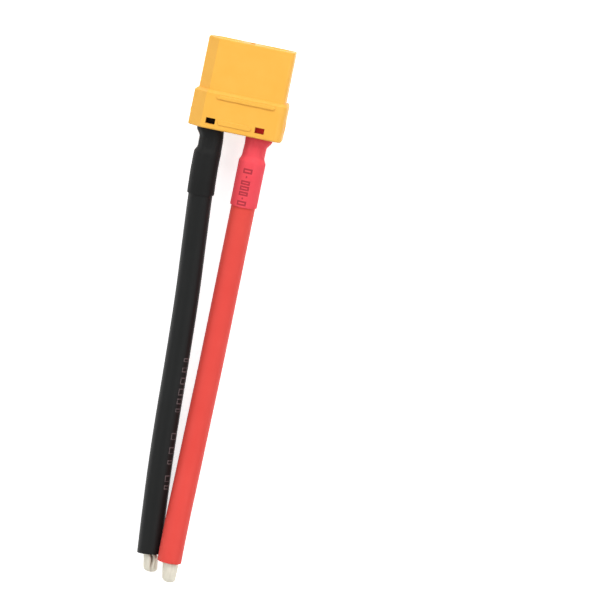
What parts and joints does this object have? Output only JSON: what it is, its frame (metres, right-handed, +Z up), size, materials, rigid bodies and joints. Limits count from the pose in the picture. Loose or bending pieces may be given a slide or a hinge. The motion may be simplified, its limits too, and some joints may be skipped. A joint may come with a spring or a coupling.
{
  "type": "battery connector pigtail",
  "caption": "Flat polarised battery connector with gilded sockets, on soldered silicone wires under shrink sleeves, their stripped ends tinned.",
  "frame": {"origin": "middle of the collar's flat underside, on which the connector lies", "axes": "+Y is the way the plug is pushed into its other half, +X is towards the positive pole, +Z up through the thickness, out of the ribbed face"},
  "size_m": [0.021, 0.1209, 0.011],
  "materials": {
    "housing_plastic": "satin moulded nylon",
    "gilded_brass": "turned and gilded",
    "tinned_strands": "tinned copper strands",
    "solder": "smooth solder",
    "black_silicone": "smooth silicone rubber",
    "red_silicone": "smooth silicone rubber",
    "black_sleeve": "matt heat-shrink tubing",
    "red_sleeve": "matt heat-shrink tubing"
  },
  "bodies": {
    "root": {"housing": "housing_plastic", "negative_socket": "gilded_brass", "negative_strands": "tinned_strands", "negative_insulation": "black_silicone", "negative_tinned_end": "solder", "negative_solder": "solder", "negative_sleeve": "black_sleeve", "positive_socket": "gilded_brass", "positive_strands": "tinned_strands", "positive_insulation": "red_silicone", "positive_tinned_end": "solder", "positive_solder": "solder", "positive_sleeve": "red_sleeve"}
  },
  "joints": []
}
